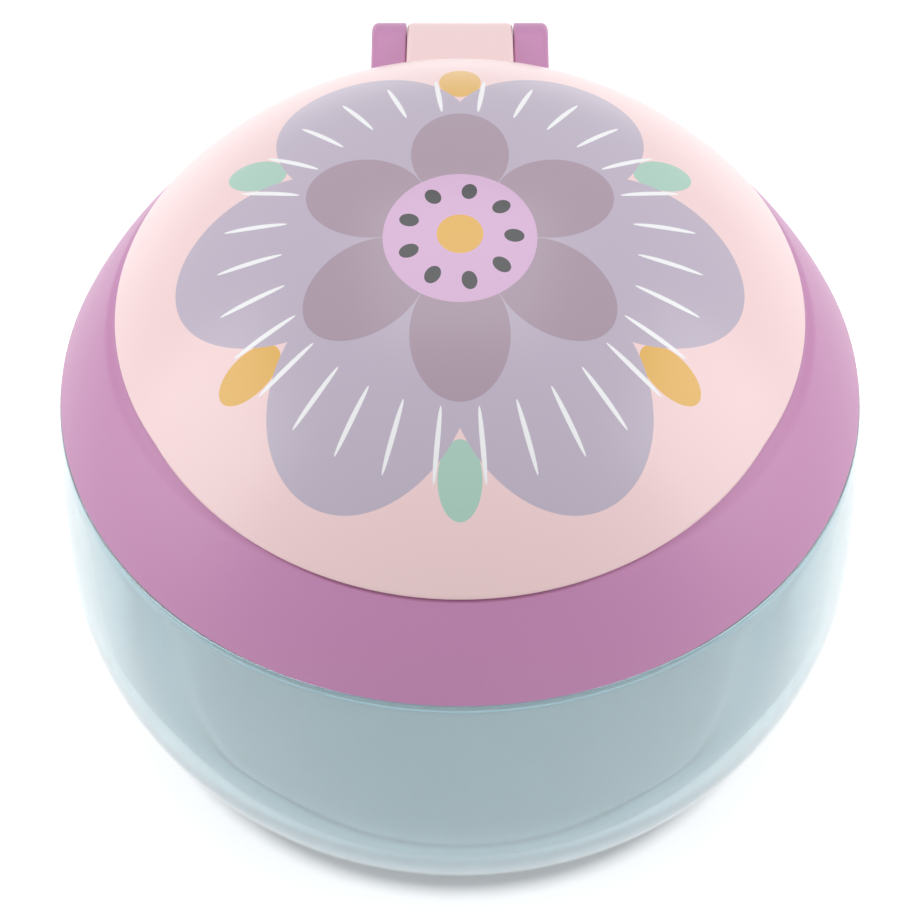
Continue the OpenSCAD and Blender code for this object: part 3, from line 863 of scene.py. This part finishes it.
bpy.ops.object.select_all(action="DESELECT")
bpy.ops.mesh.primitive_plane_add(size=table_side, location=(0, 0, -table_drop))
table = bpy.context.object
table.name = "table"
table_white = bpy.data.materials.new("white_table")
table_white.use_nodes = True
nodes = table_white.node_tree.nodes
nodes.remove(nodes["Principled BSDF"])
ray = add(table_white, "LightPath", {}).outputs
seen = shows_background(table_white, ray)
spot = add(table_white, "TexCoord", {}).outputs["Object"]
away = length_of(table_white, spot)
spread = add(table_white, "MapRange", {
    "Value": ray["Is Transmission Ray"], "To Min": glow_reach, "To Max": glow_reach_through})
fade = add(table_white, "MapRange", {"Value": away, "From Max": spread.outputs[0]}).outputs[0]
# Painted light and painted shadow: the glow's ramp, bright under the cup and dark in a ring round
# its foot.
ramp = add(table_white, "ValToRGB", {"Fac": fade})
for _ in range(len(painted_light_and_shadow_stops) - 2):
    ramp.color_ramp.elements.new(0.5)
for stop, (position, level) in zip(ramp.color_ramp.elements, painted_light_and_shadow_stops):
    stop.position = position
    stop.color = (level, level, level, 1)
glow = add(table_white, "Emission", {"Color": ramp.outputs["Color"], "Strength": 1.0}).outputs[0]
bright = add(table_white, "AddShader", {0: matt_white(table_shown), 1: glow}).outputs[0]
both = add(table_white, "MixShader", {0: seen, 1: matt_white(table_light), 2: bright}).outputs[0]
table_white.node_tree.links.new(both, nodes["Material Output"].inputs["Surface"])
table.data.materials.append(table_white)

world = bpy.data.worlds.new("studio")
bpy.context.scene.world = world
world.use_nodes = True
seen = shows_background(world, add(world, "LightPath", {}).outputs)
level = add(world, "MapRange", {"Value": seen, "To Min": world_light, "To Max": 1.0}).outputs[0]
background = world.node_tree.nodes["Background"]
world.node_tree.links.new(level, background.inputs["Strength"])
background.inputs["Color"].default_value = (1, 1, 1, 1)


def soft_light(name, place_at, width, height, watts):
    """A softbox: an area light that faces the cup."""
    lamp = bpy.data.lights.new(name, "AREA")
    lamp.shape = "RECTANGLE"
    lamp.size = width
    lamp.size_y = height
    lamp.energy = watts
    light = bpy.data.objects.new(name, lamp)
    light.location = place_at
    aim = Vector((0, 0, 0.04)) - Vector(place_at)
    light.rotation_euler = aim.to_track_quat("-Z", "Y").to_euler()
    bpy.context.scene.collection.objects.link(light)


soft_light("left_softbox", (-0.95, -0.1, 0.35), 0.8, 0.8, 3.9)
soft_light("right_softbox", (0.95, -0.1, 0.35), 0.8, 0.8, 4.0)
soft_light("top_softbox", (0, 0.3, 1.1), 0.9, 0.9, 4.2)

camera = bpy.data.objects.new("camera", bpy.data.cameras.new("camera"))
camera.location = (0, -0.2263, 0.3079)
camera.data.sensor_width = 36
camera.data.lens = 120.9
look = Vector((0, 0, 0.0321)) - camera.location
camera.rotation_euler = look.to_track_quat("-Z", "Y").to_euler()
camera.data.clip_start = 0.01
bpy.context.scene.collection.objects.link(camera)
bpy.context.scene.camera = camera
bpy.context.scene.view_settings.view_transform = "Standard"
